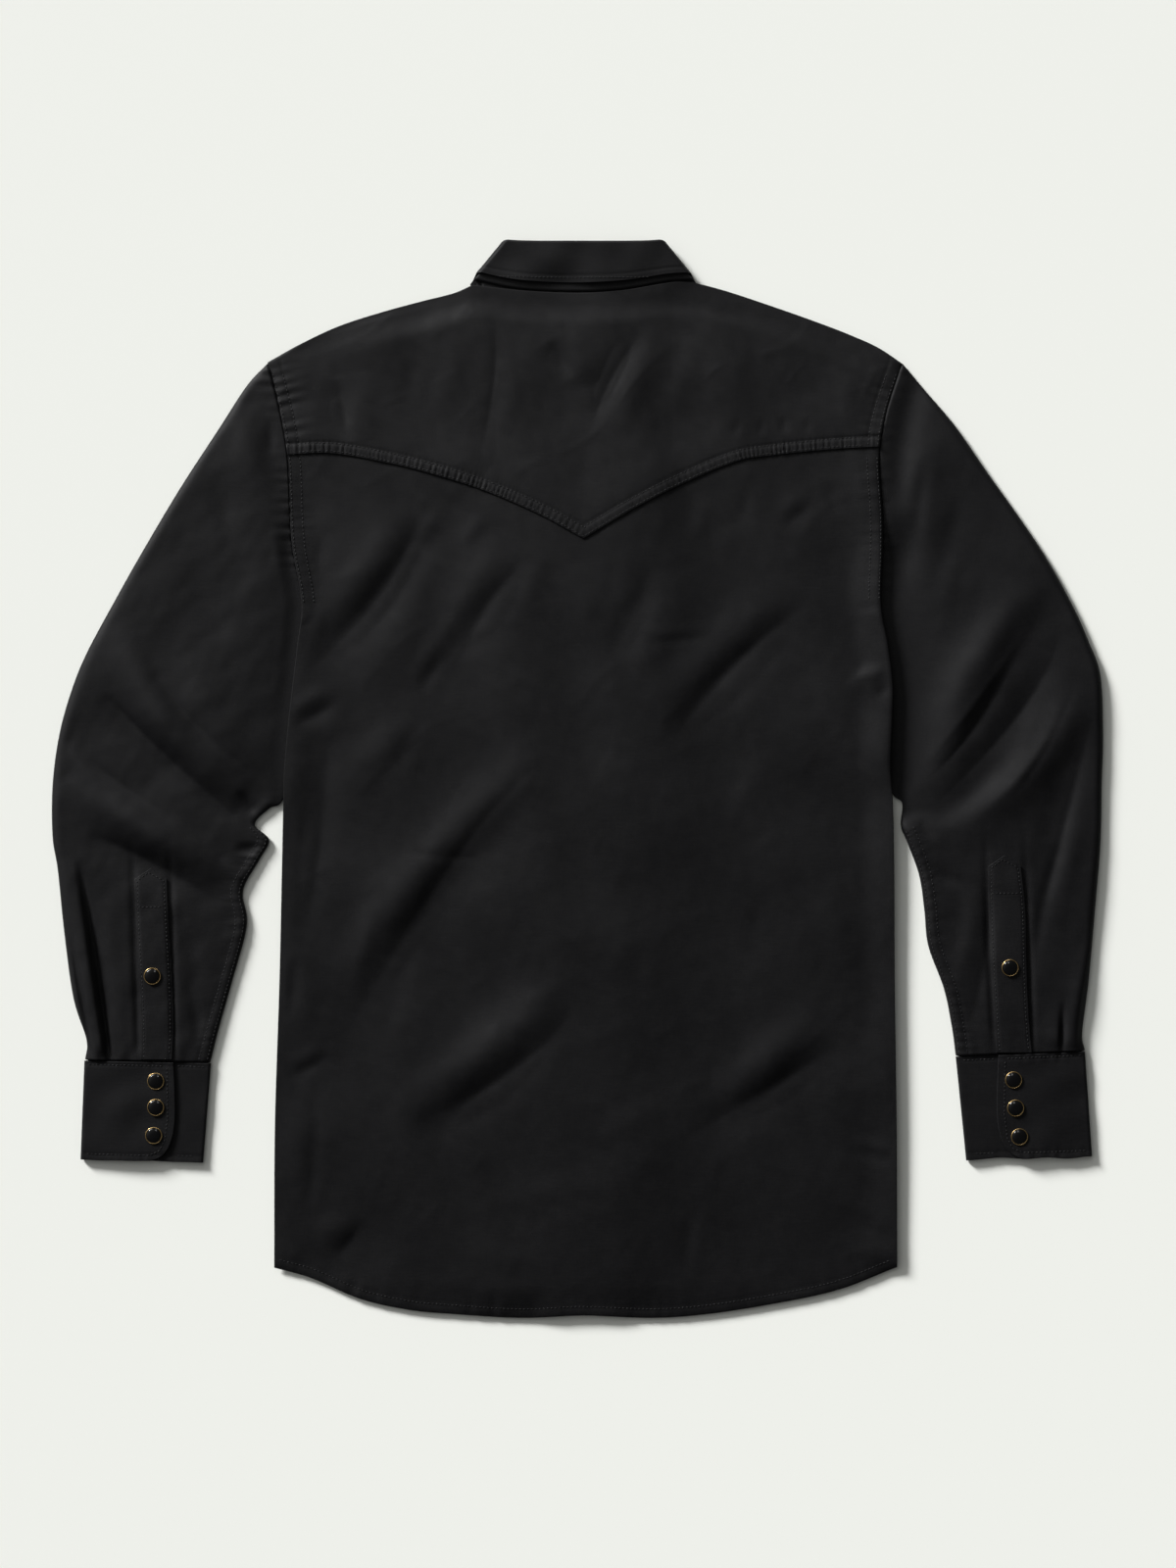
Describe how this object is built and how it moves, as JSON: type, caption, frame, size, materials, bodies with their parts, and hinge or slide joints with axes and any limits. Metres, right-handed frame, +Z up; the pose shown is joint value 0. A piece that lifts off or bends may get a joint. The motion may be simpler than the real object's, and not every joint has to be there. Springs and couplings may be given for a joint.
{
  "type": "western snap shirt",
  "caption": "Long-sleeved western shirt with snap cuffs and a pointed back yoke, laid flat on its front with its back up.",
  "frame": {"origin": "under the middle of the outline, on the surface that the shirt lies on", "axes": "+Z is up through the laid shirt, +Y runs from the hem to the collar, +X is the wearer's right"},
  "size_m": [0.8054, 0.825, 0.0118],
  "materials": {
    "cotton": "black cotton twill, matt with a soft sheen",
    "snap_cap": "glossy black enamel dome",
    "snap_ring": "thin polished ring"
  },
  "bodies": {
    "root": {"back_body": "cotton", "back_yoke": "cotton", "front_left": "cotton", "front_right": "cotton", "front_placket": "cotton", "sleeve_left": "cotton", "sleeve_right": "cotton", "cuff_left": "cotton", "cuff_right": "cotton", "sleeve_placket_left": "cotton", "sleeve_placket_right": "cotton", "collar_stand": "cotton", "collar_fall": "cotton", "snap_ring_cuff_left_1": "snap_ring", "snap_ring_cuff_left_2": "snap_ring", "snap_ring_cuff_left_3": "snap_ring", "snap_ring_cuff_right_1": "snap_ring", "snap_ring_cuff_right_2": "snap_ring", "snap_ring_cuff_right_3": "snap_ring", "snap_ring_placket_left": "snap_ring", "snap_ring_placket_right": "snap_ring", "snap_cap_cuff_left_1": "snap_cap", "snap_cap_cuff_left_2": "snap_cap", "snap_cap_cuff_left_3": "snap_cap", "snap_cap_cuff_right_1": "snap_cap", "snap_cap_cuff_right_2": "snap_cap", "snap_cap_cuff_right_3": "snap_cap", "snap_cap_placket_left": "snap_cap", "snap_cap_placket_right": "snap_cap", "front_snap_1": "snap_cap", "front_snap_2": "snap_cap", "front_snap_3": "snap_cap", "front_snap_4": "snap_cap", "front_snap_5": "snap_cap", "front_snap_6": "snap_cap", "front_snap_7": "snap_cap"}
  },
  "joints": []
}
